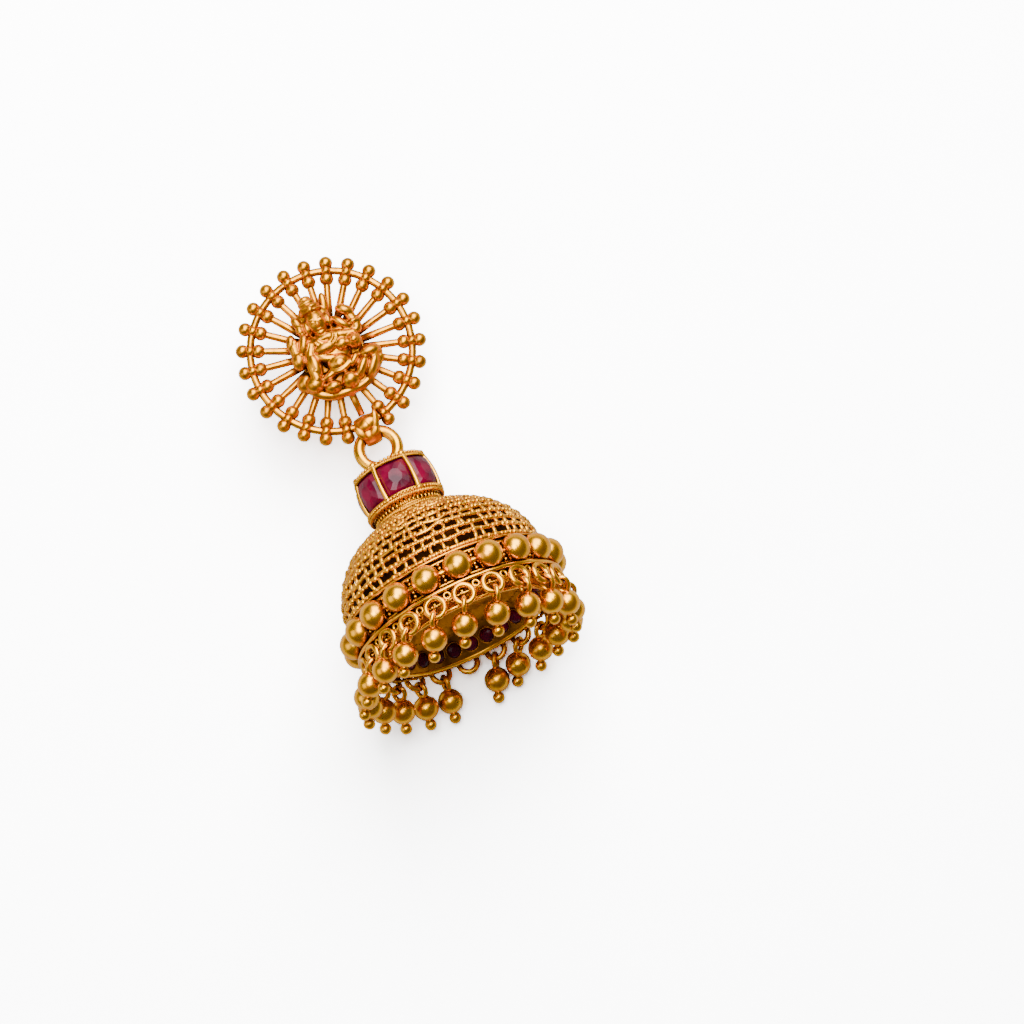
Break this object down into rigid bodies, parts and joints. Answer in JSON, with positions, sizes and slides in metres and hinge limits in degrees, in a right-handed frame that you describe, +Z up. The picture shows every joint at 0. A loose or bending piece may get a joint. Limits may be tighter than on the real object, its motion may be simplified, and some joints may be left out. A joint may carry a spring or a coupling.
{
  "type": "jhumka earring",
  "caption": "Jhumka earring lying on its side: goddess on a spoked stud wheel, a collar of cut red stones, a pierced gold dome, a row of round beads and a fringe of bead drops.",
  "frame": {"origin": "on the table, under the middle of the earring's bounding box", "axes": "+Z up from the table, +Y along the earring towards the stud, +X across it"},
  "size_m": [0.0328, 0.0634, 0.0313],
  "materials": {
    "gold": "satin",
    "dark_gold": "satin",
    "ruby": "polished"
  },
  "bodies": {
    "root": {"sunburst_wheel": "gold", "ear_post": "gold", "goddess_relief": "gold", "bail": "gold", "crown_frame": "gold", "dome_net": "gold", "bead_row": "gold", "ring_band": "gold", "stone_bowl": "dark_gold", "crown_stone_1": "ruby", "crown_stone_2": "ruby", "crown_stone_3": "ruby", "crown_stone_4": "ruby", "crown_stone_5": "ruby", "crown_stone_6": "ruby", "crown_stone_7": "ruby", "drop_01": "gold", "drop_02": "gold", "drop_03": "gold", "drop_04": "gold", "drop_05": "gold", "drop_06": "gold", "drop_07": "gold", "drop_08": "gold", "drop_09": "gold", "drop_10": "gold", "drop_11": "gold", "drop_12": "gold", "drop_13": "gold", "drop_14": "gold", "drop_15": "gold", "drop_16": "gold", "drop_17": "gold", "drop_18": "gold", "drop_19": "gold", "drop_20": "gold", "drop_21": "gold"}
  },
  "joints": []
}
